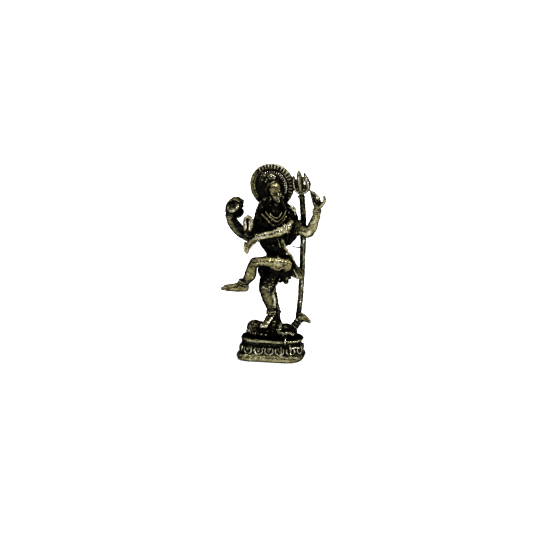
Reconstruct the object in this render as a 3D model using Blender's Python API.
"""A 50 mm brass dancing figure with four arms, a trident and a halo, on a lotus base.

The statue is divided into the members that a lost-wax maker shapes one by one and then
joins: base mouldings, dwarf, trunk, limbs, hands, head, hair, dress, ornaments, halo and
trident. All sizes are in millimetres and are turned into metres as each mesh is made.
Frame: +Z up, the figure's chest faces -Y, origin under the middle of the base.
"""

import math

import bmesh
import bpy
from mathutils import Matrix, Vector
from mathutils.bvhtree import BVHTree

MM = 0.001

# Driving dimensions
HEIGHT = 50.0
BASE_HALF_WIDTH = 8.5
BASE_HALF_DEPTH = 5.5
BASE_CORNER = 4.0
BASE_TURN = math.radians(7)  # the base stands a little askew under the figure
BAND_OUTLINE = (7.5, 4.6, 3.6)  # half width, half depth and corner radius
PLATE_OUTLINE = (7.9, 4.95, 3.7)
FOOT_TOP = 1.85
BAND_TOP = 4.5
PLATE_TOP = 5.6
PETALS = 16
POINTS_PER_PETAL = 6
HALO_RADIUS = 5.75
HALO_RIM_WIDTH = 1.3
HALO_THICKNESS = 0.8
HALO_BEADS = 36
HALO_RAYS = 20
RAYS_INNER = 2.6
RAYS_OUTER = 3.6
RAYS_THICKNESS = 0.45
STAFF_RADIUS = 0.72
JOINT_GAP = 0.1  # clearance between neighbouring members
LIMB_SIDES = 10
SHARP_ANGLE = math.radians(40)

# Skeleton of the dancer
PELVIS = Vector((1.9, 0.5, 25.0))
WAIST = Vector((1.2, 0.3, 27.3))
CHEST = Vector((0.3, 0.2, 33.0))
COLLAR = Vector((0.6, 0.4, 36.3))
NECK = Vector((0.8, 0.3, 38.4))
HEAD = Vector((1.1, -0.5, 42.75))
RIGHT_SHOULDER = Vector((-3.2, 0.3, 35.2))
LEFT_SHOULDER = Vector((4.9, 0.2, 35.3))

DRUM_ELBOW = Vector((-6.5, 0.5, 31.0))
DRUM_WRIST = Vector((-11.1, -0.3, 35.6))
BLESSING_SHOULDER = RIGHT_SHOULDER + Vector((0.1, -0.9, -0.6))
BLESSING_ELBOW = Vector((-4.0, -0.3, 31.0))
BLESSING_WRIST = Vector((-4.0, -3.5, 32.8))
CROSSING_SHOULDER = LEFT_SHOULDER + Vector((0.1, -1.0, 0.0))
CROSSING_ELBOW = Vector((3.2, -4.0, 33.8))
CROSSING_WRIST = Vector((-2.3, -5.0, 31.8))
RAISED_ELBOW = Vector((10.5, -1.0, 33.7))
RAISED_WRIST = Vector((12.5, -1.2, 39.4))

RAISED_HIP = Vector((4.3, -1.6, 25.0))
RAISED_KNEE = Vector((-2.85, -4.6, 25.6))
RAISED_ANKLE = Vector((-5.95, -4.4, 20.4))
STANDING_HIP = Vector((0.6, 0.2, 23.6))
STANDING_KNEE = Vector((-1.1, -1.2, 17.8))
STANDING_ANKLE = Vector((0.1, -0.5, 11.8))

HALO_CENTRE = Vector((-0.4, 2.3, HEIGHT - HALO_RADIUS))
STAFF_FOOT = Vector((7.0, 0.9, 10.2))
STAFF_TOP = Vector((7.6, 1.7, 42.0))
FORK_BOTTOM = STAFF_TOP + Vector((0, 0, 0.9))

pieces = []  # in order of making: each is fitted round those before it


def clear_scene():
    for obj in list(bpy.data.objects):
        bpy.data.objects.remove(obj, do_unlink=True)


def make_material(name, colour, roughness, metallic):
    material = bpy.data.materials.new(name)
    material.use_nodes = True
    shader = material.node_tree.nodes["Principled BSDF"]
    shader.inputs["Base Color"].default_value = (*colour, 1.0)
    shader.inputs["Roughness"].default_value = roughness
    shader.inputs["Metallic"].default_value = metallic
    material.diffuse_color = (*colour, 1.0)
    return material


def add_piece(name, mesh, material, origin):
    """A named object for one member, its origin at the joint where it meets the next."""
    mesh.normal_update()
    data = bpy.data.meshes.new(name)
    bmesh.ops.recalc_face_normals(mesh, faces=mesh.faces)
    bmesh.ops.translate(mesh, verts=mesh.verts, vec=-Vector(origin))
    bmesh.ops.scale(mesh, verts=mesh.verts, vec=(MM, MM, MM))
    mesh.to_mesh(data)
    mesh.free()
    data.shade_smooth()
    data.set_sharp_from_angle(angle=SHARP_ANGLE)
    data.materials.append(material)
    obj = bpy.data.objects.new(name, data)
    obj.location = Vector(origin) * MM
    bpy.context.scene.collection.objects.link(obj)
    pieces.append(obj)


def skin_rings(mesh, rings):
    """Faces between successive rings of points, with a cap on each end."""
    loops = [[mesh.verts.new(point) for point in ring] for ring in rings]
    for low, high in zip(loops, loops[1:]):
        for i in range(len(low)):
            j = (i + 1) % len(low)
            mesh.faces.new((low[i], low[j], high[j], high[i]))
    mesh.faces.new(list(reversed(loops[0])))
    mesh.faces.new(loops[-1])


def tube_rings(stations, facing, sides):
    """Elliptical rings across a path. A station is (centre, half width, half depth)."""
    centres = [Vector(s[0]) for s in stations]
    rings = []
    for i, (_, wide, deep) in enumerate(stations):
        before = centres[max(i - 1, 0)]
        after = centres[min(i + 1, len(centres) - 1)]
        along = (after - before).normalized()
        across = along.cross(facing).normalized()
        out = across.cross(along).normalized()
        ring = []
        for k in range(sides):
            turn = 2 * math.pi * k / sides
            ring.append(centres[i] + across * wide * math.cos(turn) + out * deep * math.sin(turn))
        rings.append(ring)
    return rings


def rounded_end(station, neighbour):
    """Two smaller stations that round off the end of a tube."""
    centre, wide, deep = Vector(station[0]), station[1], station[2]
    away = (centre - Vector(neighbour[0])).normalized()
    reach = min(wide, deep)
    steps = []
    for angle in (0.25 * math.pi, 0.44 * math.pi):
        size = math.cos(angle)
        steps.append((centre + away * reach * math.sin(angle), wide * size, deep * size))
    return steps


def limb(name, stations, material, facing=(0, 1, 0), sides=LIMB_SIDES):
    """A closed, round-ended member swept through its stations."""
    start = list(reversed(rounded_end(stations[0], stations[1])))
    end = rounded_end(stations[-1], stations[-2])
    mesh = bmesh.new()
    skin_rings(mesh, tube_rings(start + list(stations) + end, Vector(facing), sides))
    add_piece(name, mesh, material, stations[0][0])


def straight_limb(name, start, end, radii, material, **options):
    """A limb between two joints, with radii spread evenly from one to the other."""
    steps = len(radii) - 1
    stations = []
    for i, radius in enumerate(radii):
        stations.append((start.lerp(end, i / steps), radius, radius))
    limb(name, stations, material, **options)


def ball(name, centre, radii, material, turn=0.0, segments=12, rings=8):
    """An ellipsoid, turned about Y by turn degrees."""
    mesh = bmesh.new()
    bmesh.ops.create_uvsphere(mesh, u_segments=segments, v_segments=rings, radius=1.0)
    place = Matrix.Translation(centre) @ Matrix.Rotation(math.radians(turn), 4, "Y")
    bmesh.ops.transform(mesh, matrix=place @ Matrix.Diagonal((*radii, 1.0)), verts=mesh.verts)
    add_piece(name, mesh, material, centre)


def ring_band(name, centre, axis, radii, wire, material, around=14, section=6):
    """A closed ring of round wire about an axis. radii are the half width and half depth."""
    axis = Vector(axis).normalized()
    across = axis.cross(Vector((0, 1, 0))).normalized()
    out = across.cross(axis).normalized()
    mesh = bmesh.new()
    loops = []
    for i in range(around):
        turn = 2 * math.pi * i / around
        spoke = across * math.cos(turn) * radii[0] + out * math.sin(turn) * radii[1]
        away = spoke.normalized()
        loop = []
        for k in range(section):
            lean = 2 * math.pi * k / section
            offset = away * math.cos(lean) * wire + axis * math.sin(lean) * wire
            loop.append(mesh.verts.new(Vector(centre) + spoke + offset))
        loops.append(loop)
    for i in range(around):
        here, after = loops[i], loops[(i + 1) % around]
        for k in range(section):
            m = (k + 1) % section
            mesh.faces.new((here[k], after[k], after[m], here[m]))
    add_piece(name, mesh, material, centre)


def rounded_outline(half_width, half_depth, corner, per_corner=9):
    """Points and outward directions round the base's rectangle with round corners."""
    askew = Matrix.Rotation(BASE_TURN, 3, "Z")
    outline = []
    for quarter in range(4):
        sign_x = (1, -1, -1, 1)[quarter]
        sign_y = (1, 1, -1, -1)[quarter]
        centre = Vector((sign_x * (half_width - corner), sign_y * (half_depth - corner), 0))
        for step in range(per_corner):
            turn = (quarter + step / (per_corner - 1)) * math.pi / 2
            away = Vector((math.cos(turn), math.sin(turn), 0))
            outline.append((askew @ (centre + away * corner), askew @ away))
    return outline


def moulding(name, outline, profile, material):
    """A base moulding: the outline pulled in by each (inset, height) of the profile."""
    mesh = bmesh.new()
    rings = []
    for inset, height in profile:
        rings.append([point - away * inset + Vector((0, 0, height)) for point, away in outline])
    skin_rings(mesh, rings)
    add_piece(name, mesh, material, (0, 0, profile[0][1]))


def even_outline(outline, count):
    """The outline resampled at even steps, so that a pattern can follow its length."""
    points = [point for point, _ in outline]
    points.append(points[0])
    aways = [away for _, away in outline] + [outline[0][1]]
    lengths = [0.0]
    for a, b in zip(points, points[1:]):
        lengths.append(lengths[-1] + (b - a).length)
    even = []
    segment = 0
    for k in range(count):
        target = lengths[-1] * k / count
        while lengths[segment + 1] < target:
            segment += 1
        run = max(lengths[segment + 1] - lengths[segment], 1e-9)
        share = (target - lengths[segment]) / run
        away = aways[segment].lerp(aways[segment + 1], share).normalized()
        even.append((points[segment].lerp(points[segment + 1], share), away))
    return even


def lotus_band(material):
    """The waist of the base, whose outline swells into a ring of petals."""
    outline = even_outline(rounded_outline(*BAND_OUTLINE), PETALS * POINTS_PER_PETAL)
    levels = ((0.3, FOOT_TOP + JOINT_GAP, 0.0), (0.0, 2.5, 0.5), (0.0, 3.2, 0.55), (0.0, 3.8, 0.35),
              (0.1, BAND_TOP, 0.0))
    mesh = bmesh.new()
    rings = []
    for inset, height, swell in levels:
        ring = []
        for k, (point, away) in enumerate(outline):
            bulge = swell * abs(math.sin(math.pi * k / POINTS_PER_PETAL))
            ring.append(point + away * (bulge - inset) + Vector((0, 0, height)))
        rings.append(ring)
    skin_rings(mesh, rings)
    add_piece("lotus_band", mesh, material, (0, 0, FOOT_TOP))


def make_base(bright, dark):
    outer = rounded_outline(BASE_HALF_WIDTH, BASE_HALF_DEPTH, BASE_CORNER)
    moulding(
        "base_foot", outer, ((0.5, 0.0), (0.1, 0.3), (0.0, 0.8), (0.15, 1.4), (0.55, FOOT_TOP)), bright
    )
    lotus_band(dark)
    plate = rounded_outline(*PLATE_OUTLINE)
    bottom = BAND_TOP + JOINT_GAP
    moulding(
        "base_plate", plate, ((0.3, bottom), (0.0, bottom + 0.3), (0.05, 5.2), (0.4, PLATE_TOP)), bright
    )


def make_dwarf(bright, dark):
    """The dwarf lies face down along the base, knees under him and head lifted to the right."""
    body = (
        ((-4.9, 0.1, 7.4), 1.6, 1.9),
        ((-2.6, 0.0, 7.7), 1.6, 2.1),
        ((0.4, 0.0, 7.3), 1.35, 2.0),
        ((3.2, 0.0, 7.4), 1.4, 1.9),
        ((4.9, 0.0, 7.8), 1.1, 1.4),
    )
    limb("dwarf_body", body, dark)
    neck = (((5.5, -0.3, 8.4), 0.95, 0.9), ((6.6, -0.4, 9.5), 0.9, 0.85), ((7.7, -0.5, 10.5), 0.95, 0.9))
    limb("dwarf_neck", neck, dark, sides=8)
    head = (((8.2, -0.6, 10.9), 1.0, 0.95), ((9.2, -0.6, 10.7), 0.85, 0.8), ((10.1, -0.6, 10.2), 0.55, 0.5))
    limb("dwarf_head", head, bright, sides=8)
    arm = (
        ((2.4, -1.7, 8.2), 0.7, 0.7),
        ((3.1, -2.6, 7.0), 0.65, 0.65),
        ((3.9, -2.9, 6.4), 0.55, 0.55),
        ((5.9, -2.7, 6.4), 0.5, 0.5),
    )
    limb("dwarf_arm", arm, bright, sides=8)
    leg = (((-4.9, -1.9, 6.5), 0.65, 0.65), ((-3.4, -2.4, 6.4), 0.6, 0.6), ((-1.6, -2.6, 6.3), 0.5, 0.45))
    limb("dwarf_leg", leg, dark, sides=8)


def make_trunk(dark):
    trunk = (
        (PELVIS + Vector((0, 0, -1.2)), 2.5, 1.8),
        (PELVIS, 2.9, 2.0),
        (WAIST, 2.4, 1.5),
        ((0.5, 0.2, 29.0), 2.9, 1.5),
        ((0.2, 0.2, 30.6), 3.5, 1.6),
        (CHEST, 4.0, 1.8),
        ((0.5, 0.3, 35.0), 4.3, 1.6),
        (COLLAR, 3.3, 1.4),
        ((0.7, 0.4, 37.3), 1.9, 1.2),
        (NECK, 1.1, 1.1),
    )
    limb("torso", trunk, dark, sides=14)


def make_legs(bright, dark):
    thigh = (
        (RAISED_HIP, 2.0, 2.1),
        (RAISED_HIP.lerp(RAISED_KNEE, 0.45), 1.8, 1.8),
        (RAISED_KNEE, 1.4, 1.4),
    )
    limb("raised_thigh", thigh, bright, facing=(0, 0, 1))
    shin = (
        (RAISED_KNEE.lerp(RAISED_ANKLE, 0.12), 1.45, 1.45),
        (RAISED_KNEE.lerp(RAISED_ANKLE, 0.45), 1.45, 1.45),
        (RAISED_ANKLE, 1.0, 1.0),
    )
    limb("raised_shin", shin, bright)
    foot = (
        ((-5.6, -4.4, 19.0), 1.1, 1.0),
        ((-7.3, -4.6, 18.75), 1.05, 0.95),
        ((-9.3, -4.9, 18.4), 0.85, 1.0),
        ((-11.1, -5.2, 18.1), 0.5, 0.85),
    )
    limb("raised_foot", foot, bright)
    straight_limb("standing_thigh", STANDING_HIP, STANDING_KNEE, (2.3, 2.4, 2.2, 1.75), dark)
    straight_limb("standing_shin", STANDING_KNEE, STANDING_ANKLE, (1.75, 1.65, 1.5, 0.95), bright)
    sole = (
        ((0.4, 0.2, 10.6), 0.95, 0.8),
        ((-0.2, -1.5, 10.2), 0.95, 0.8),
        ((-0.8, -3.1, 9.7), 1.0, 0.6),
        ((-1.3, -4.2, 9.2), 0.9, 0.4),
    )
    limb("standing_foot", sole, bright, facing=(0, 0, 1))


def make_arms(bright, dark):
    """Four arms, each an upper arm to the elbow and a forearm to the wrist."""
    drum = (RIGHT_SHOULDER, DRUM_ELBOW, DRUM_WRIST)
    blessing = (BLESSING_SHOULDER, BLESSING_ELBOW, BLESSING_WRIST)
    crossing = (CROSSING_SHOULDER, CROSSING_ELBOW, CROSSING_WRIST)
    raised = (LEFT_SHOULDER, RAISED_ELBOW, RAISED_WRIST)
    arms = (
        ("drum", drum, (1.4, 1.4, 1.4, 1.3), (1.35, 1.35, 1.25, 1.1), dark),
        ("blessing", blessing, (1.3, 1.2), (1.15, 1.1, 0.9), dark),
        ("crossing", crossing, (1.3, 1.2), (1.2, 1.05, 0.8), bright),
        ("raised", raised, (1.5, 1.5, 1.45), (1.4, 1.35, 1.25, 1.0), bright),
    )
    for name, (shoulder, elbow, wrist), upper, lower, upper_finish in arms:
        straight_limb(f"{name}_upper_arm", shoulder, elbow, upper, upper_finish)
        straight_limb(f"{name}_forearm", elbow, wrist, lower, bright)


def make_hands(bright):
    drum_hand = (
        ((-11.35, -0.2, 37.0), 0.95, 0.9),
        ((-11.2, -0.1, 38.6), 0.85, 1.0),
        ((-10.4, 0.0, 39.9), 0.75, 1.0),
        ((-9.2, 0.0, 40.5), 0.7, 0.9),
        ((-8.4, -0.1, 40.5), 0.6, 0.7),
    )
    limb("drum_hand", drum_hand, bright)
    blessing = (
        (BLESSING_WRIST + Vector((-0.2, -0.1, 0.6)), 1.0, 0.8),
        ((-4.5, -3.9, 34.8), 1.4, 0.7),
        ((-4.6, -3.9, 36.2), 1.4, 0.6),
        ((-4.6, -3.7, 37.2), 1.05, 0.5),
    )
    limb("blessing_hand", blessing, bright)
    crossing = (
        (CROSSING_WRIST + Vector((-0.5, 0, -0.3)), 0.85, 0.75),
        ((-3.9, -5.1, 30.6), 0.9, 0.65),
        ((-4.9, -5.1, 29.1), 0.85, 0.6),
        ((-5.2, -5.0, 28.0), 0.5, 0.5),
    )
    limb("crossing_hand", crossing, bright)
    fingers = (
        (RAISED_WRIST + Vector((0.1, 0, 1.2)), 0.95, 0.8),
        ((12.5, -1.3, 41.8), 1.15, 0.7),
        ((11.8, -1.4, 43.2), 0.95, 0.55),
        ((11.3, -1.4, 44.2), 0.5, 0.45),
    )
    limb("raised_hand", fingers, bright)
    thumb = (
        ((13.6, -1.3, 41.2), 0.6, 0.55),
        ((14.3, -1.4, 42.3), 0.5, 0.45),
        ((14.6, -1.4, 43.2), 0.4, 0.4),
    )
    limb("raised_thumb", thumb, bright, sides=8)


def make_head(bright, dark):
    ball("head", HEAD, (1.75, 2.0, 2.75), bright, turn=8, segments=14, rings=10)
    bun = (((0.6, 0.5, 45.2), 2.0, 1.7), ((0.3, 0.6, 46.6), 1.5, 1.4), ((0.1, 0.6, 47.6), 0.9, 0.9))
    limb("hair_bun", bun, dark)
    right_locks = (
        ((-0.9, 0.9, 41.6), 0.8, 1.0),
        ((-2.0, 1.0, 39.2), 1.1, 1.0),
        ((-3.0, 0.9, 37.5), 1.1, 1.0),
    )
    limb("hair_right", right_locks, dark)
    left_locks = (
        ((3.0, 0.8, 41.2), 0.8, 1.0),
        ((4.2, 0.9, 39.0), 1.2, 1.1),
        ((5.0, 1.2, 37.4), 1.3, 1.1),
        ((5.0, 1.9, 34.6), 1.4, 0.8),
        ((4.7, 2.0, 31.8), 1.4, 0.7),
        ((3.9, 1.9, 29.6), 0.8, 0.6),
    )
    limb("hair_left", left_locks, dark)
    ears = {"earring_left": (3.2, -0.9, 40.2), "earring_right": (-0.8, -1.2, 40.6)}
    for name, place in ears.items():
        ring_band(name, place, (1, 0, 0), (0.55, 0.55), 0.22, bright, around=10, section=5)


def make_dress(bright, dark):
    back = (
        ((2.4, 1.9, 25.8), 2.9, 0.7),
        ((2.0, 1.9, 23.4), 3.3, 0.75),
        ((1.9, 1.8, 21.2), 2.9, 0.7),
        ((2.2, 1.7, 20.0), 2.1, 0.6),
    )
    limb("skirt_back", back, dark)
    lobe = (((4.0, 0.4, 22.3), 1.2, 0.9), ((3.9, 0.4, 20.6), 0.9, 0.8), ((4.0, 0.4, 19.5), 0.6, 0.6))
    limb("skirt_fall", lobe, dark)
    tail = (
        ((0.6, 1.0, 17.2), 0.5, 0.5),
        ((1.1, 1.0, 14.7), 0.55, 0.55),
        ((1.6, 0.9, 11.9), 0.6, 0.6),
        ((1.55, 0.8, 10.2), 0.75, 0.75),
        ((1.75, 0.7, 9.2), 0.95, 0.9),
    )
    limb("dress_tail", tail, dark, sides=8)
    ring_band("waist_belt", WAIST + Vector((0.1, 0, -0.6)), (0.15, 0, 1), (2.7, 1.85), 0.45, bright)
    sash = (
        ((3.0, -1.6, 30.0), 0.4, 0.3),
        ((3.5, -1.0, 28.2), 0.4, 0.3),
        ((4.9, -0.2, 26.4), 0.45, 0.3),
        ((6.1, 0.1, 24.3), 0.6, 0.35),
        ((6.9, 0.3, 22.3), 0.7, 0.4),
        ((7.5, 0.4, 20.9), 0.6, 0.4),
    )
    limb("sash", sash, bright, sides=8)


def make_ornaments(bright):
    ring_band("necklace_upper", (0.75, 0.1, 37.0), (0, 0.5, 1), (1.9, 1.7), 0.3, bright, around=16)
    ring_band("necklace_lower", (0.5, -0.1, 35.6), (0, 0.75, 1), (2.9, 2.3), 0.32, bright, around=18)
    bangles = (
        ("drum_bracelet", DRUM_ELBOW, DRUM_WRIST, 0.97, 1.15),
        ("blessing_bracelet", BLESSING_ELBOW, BLESSING_WRIST, 0.7, 1.15),
        ("crossing_bracelet", CROSSING_ELBOW, CROSSING_WRIST, 0.95, 1.0),
        ("raised_bracelet", RAISED_ELBOW, RAISED_WRIST, 0.97, 1.0),
        ("raised_armlet", LEFT_SHOULDER, RAISED_ELBOW, 0.55, 1.5),
        ("crossing_armlet", LEFT_SHOULDER, CROSSING_ELBOW, 0.5, 1.5),
        ("raised_anklet", RAISED_KNEE, RAISED_ANKLE, 0.97, 1.15),
        ("standing_anklet", STANDING_KNEE, STANDING_ANKLE, 0.95, 1.1),
    )
    for name, start, end, share, radius in bangles:
        axis = end - start
        ring_band(name, start.lerp(end, share), axis, (radius, radius), 0.3, bright)


def make_drum(dark):
    """The hour-glass hand drum, its far head low on the right."""
    near = Vector((-9.35, -1.6, 39.0))
    far = Vector((-7.9, 0.7, 37.6))
    shape = ((0.0, 1.25), (0.15, 1.35), (0.5, 0.75), (0.85, 1.55), (1.0, 1.45))
    mesh = bmesh.new()
    stations = [(near.lerp(far, share), radius, radius) for share, radius in shape]
    skin_rings(mesh, tube_rings(stations, Vector((0, 0, 1)), 14))
    add_piece("hand_drum", mesh, dark, near.lerp(far, 0.5))


def make_halo(bright, dark):
    """Disc, beaded rim and inner ring of rays, stood on edge behind the head."""
    inner = HALO_RADIUS - HALO_RIM_WIDTH
    disc_radius = inner - JOINT_GAP
    disc_thickness = HALO_THICKNESS / 2
    disc = bmesh.new()
    bmesh.ops.create_cone(
        disc, cap_ends=True, segments=36, radius1=disc_radius, radius2=disc_radius, depth=disc_thickness
    )
    upright = Matrix.Translation(HALO_CENTRE) @ Matrix.Rotation(math.pi / 2, 4, "X")
    bmesh.ops.transform(disc, matrix=upright, verts=disc.verts)
    add_piece("halo_disc", disc, dark, HALO_CENTRE)
    scalloped_ring("halo_rim", HALO_CENTRE, inner, HALO_RADIUS, HALO_THICKNESS, HALO_BEADS, 0.12, bright)
    forward = (disc_thickness + RAYS_THICKNESS) / 2 + JOINT_GAP
    rays = HALO_CENTRE + Vector((0, -forward, 0))
    scalloped_ring("halo_rays", rays, RAYS_INNER, RAYS_OUTER, RAYS_THICKNESS, HALO_RAYS, 0.15, dark)


def scalloped_ring(name, centre, inner, outer, thick, lobes, dip, material):
    """A flat upright ring whose outer edge dips between its beads or rays."""
    steps = lobes * 2
    mesh = bmesh.new()
    loops = []
    for i in range(steps):
        turn = 2 * math.pi * i / steps
        away = Vector((math.cos(turn), 0, math.sin(turn)))
        edge = outer - dip * (i % 2)
        half = thick / 2
        corners = ((inner, -half), (edge, -half), (edge, half), (inner, half))
        loop = [mesh.verts.new(centre + away * radius + Vector((0, depth, 0))) for radius, depth in corners]
        loops.append(loop)
    for i in range(steps):
        here, after = loops[i], loops[(i + 1) % steps]
        for k in range(4):
            m = (k + 1) % 4
            mesh.faces.new((here[k], here[m], after[m], after[k]))
    add_piece(name, mesh, material, centre)


def make_trident(bright, dark):
    bowed = (
        (STAFF_FOOT, STAFF_RADIUS, STAFF_RADIUS),
        ((7.35, 1.2, 15.0), STAFF_RADIUS, STAFF_RADIUS),
        ((7.7, 1.6, 25.0), STAFF_RADIUS, STAFF_RADIUS),
        ((7.95, 1.7, 33.0), STAFF_RADIUS, STAFF_RADIUS),
        (STAFF_TOP, 0.8, 0.8),
    )
    limb("trident_staff", bowed, dark, sides=8)
    collar = STAFF_TOP - Vector((0, 0, 0.2))
    ring_band("trident_collar", collar, (0, 0, 1), (0.95, 0.95), 0.3, bright, around=12)
    # Each prong's path: (offset from the bottom of the fork, radius)
    prongs = {
        "trident_right_prong": (
            ((0.7, 0, 0.5), 0.6),
            ((1.6, 0, 1.5), 0.6),
            ((1.6, 0, 3.4), 0.6),
            ((0.9, 0, 4.8), 0.4),
        ),
        "trident_left_prong": (
            ((-0.9, 0, 0.6), 0.55),
            ((-1.9, 0, 1.5), 0.5),
            ((-2.2, 0, 2.7), 0.5),
            ((-2.3, 0, 4.0), 0.4),
        ),
        "trident_centre_prong": (
            ((0, 0, 0.4), 0.8),
            ((-0.1, 0, 2.4), 0.55),
            ((-0.5, 0, 4.3), 0.6),
            ((-0.7, 0, 5.3), 0.4),
        ),
    }
    for name, steps in prongs.items():
        stations = [(FORK_BOTTOM + Vector(offset), radius, radius) for offset, radius in steps]
        limb(name, stations, bright, sides=8)


def world_tree(obj, swell):
    """A search tree of the object's own mesh, swollen along its normals."""
    mesh = bmesh.new()
    mesh.from_mesh(obj.data)
    mesh.normal_update()
    for vertex in mesh.verts:
        vertex.co += vertex.normal * swell + obj.location
    tree = BVHTree.FromBMesh(mesh)
    mesh.free()
    return tree


def fit_together():
    """Cuts each member back from every earlier one that it would run into."""
    gap = JOINT_GAP * MM
    trees = [world_tree(obj, gap) for obj in pieces]
    cutters = [swollen_copy(obj, gap) for obj in pieces]
    for i, obj in enumerate(pieces):
        for j in range(i):
            if trees[i].overlap(trees[j]):
                cut = obj.modifiers.new(f"fit_to_{pieces[j].name}", "BOOLEAN")
                cut.operation = "DIFFERENCE"
                cut.object = cutters[j]
    for obj in pieces:
        if obj.modifiers:
            keep_main_body(obj)
    for cutter in cutters:
        bpy.data.objects.remove(cutter, do_unlink=True)


def swollen_copy(obj, gap):
    """A hidden cutter that stands one gap proud of the member all round."""
    cutter = bpy.data.objects.new(f"{obj.name}_cutter", obj.data)
    cutter.location = obj.location
    cutter.hide_render = True
    cutter.display_type = "WIRE"
    bpy.context.scene.collection.objects.link(cutter)
    swell = cutter.modifiers.new("swell", "DISPLACE")
    swell.mid_level = 0.0
    swell.strength = gap
    return cutter


def keep_main_body(obj):
    """Applies the cuts and drops any crumb that they leave beside the member itself."""
    shaped = obj.evaluated_get(bpy.context.evaluated_depsgraph_get())
    data = bpy.data.meshes.new_from_object(shaped)
    obj.modifiers.clear()
    mesh = bmesh.new()
    mesh.from_mesh(data)
    bodies = linked_bodies(mesh)
    bodies.sort(key=spread, reverse=True)
    crumbs = [vertex for body in bodies[1:] for vertex in body]
    bmesh.ops.delete(mesh, geom=crumbs, context="VERTS")
    mesh.to_mesh(data)
    mesh.free()
    data.name = f"{obj.name}_fitted"
    obj.data = data


def linked_bodies(mesh):
    """The mesh's vertices, grouped into its separate bodies."""
    waiting = set(mesh.verts)
    bodies = []
    while waiting:
        body = []
        edge_of_body = [waiting.pop()]
        while edge_of_body:
            vertex = edge_of_body.pop()
            body.append(vertex)
            for edge in vertex.link_edges:
                other = edge.other_vert(vertex)
                if other in waiting:
                    waiting.remove(other)
                    edge_of_body.append(other)
        bodies.append(body)
    return bodies


def spread(body):
    """How large a body is: the diagonal of its box."""
    low = Vector([min(v.co[axis] for v in body) for axis in range(3)])
    high = Vector([max(v.co[axis] for v in body) for axis in range(3)])
    return (high - low).length


def main():
    clear_scene()
    bright = make_material("rubbed_brass", (0.40, 0.34, 0.16), 0.38, 1.0)
    dark = make_material("blackened_brass", (0.05, 0.045, 0.03), 0.5, 1.0)
    make_base(bright, dark)
    make_dwarf(bright, dark)
    make_halo(bright, dark)
    make_trunk(dark)
    make_legs(bright, dark)
    make_arms(bright, dark)
    make_hands(bright)
    make_head(bright, dark)
    make_drum(dark)
    make_trident(bright, dark)
    make_dress(bright, dark)
    make_ornaments(bright)
    fit_together()


main()
